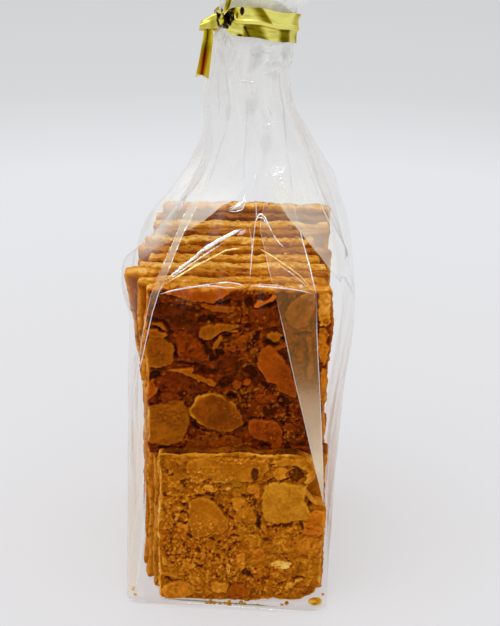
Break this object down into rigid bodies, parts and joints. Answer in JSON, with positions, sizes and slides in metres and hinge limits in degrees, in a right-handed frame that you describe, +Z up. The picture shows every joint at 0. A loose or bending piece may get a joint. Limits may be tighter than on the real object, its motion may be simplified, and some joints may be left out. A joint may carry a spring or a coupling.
{
  "type": "bag of almond tuiles",
  "caption": "Clear film bag of square almond tuiles standing on edge in two tiers, gathered to a neck and closed by a gold foil twist tie.",
  "frame": {"origin": "middle of the pack's bounding box, on the surface that the flat bottom stands on", "axes": "+Z up the pack to its mouth, -Y the pack's front, where the two front tuiles face, +X its right side seen from the front"},
  "size_m": [0.0732, 0.0787, 0.216],
  "materials": {
    "film": "thin clear crinkled film with sharp creases",
    "foil": "bright yellow gold foil ribbon over a wire core",
    "tuile": "baked golden brown caramel dough with almond slices",
    "crumb": "rough golden crumbs"
  },
  "bodies": {
    "root": {"bag": "film", "twist_tie": "foil"}
  },
  "joints": []
}
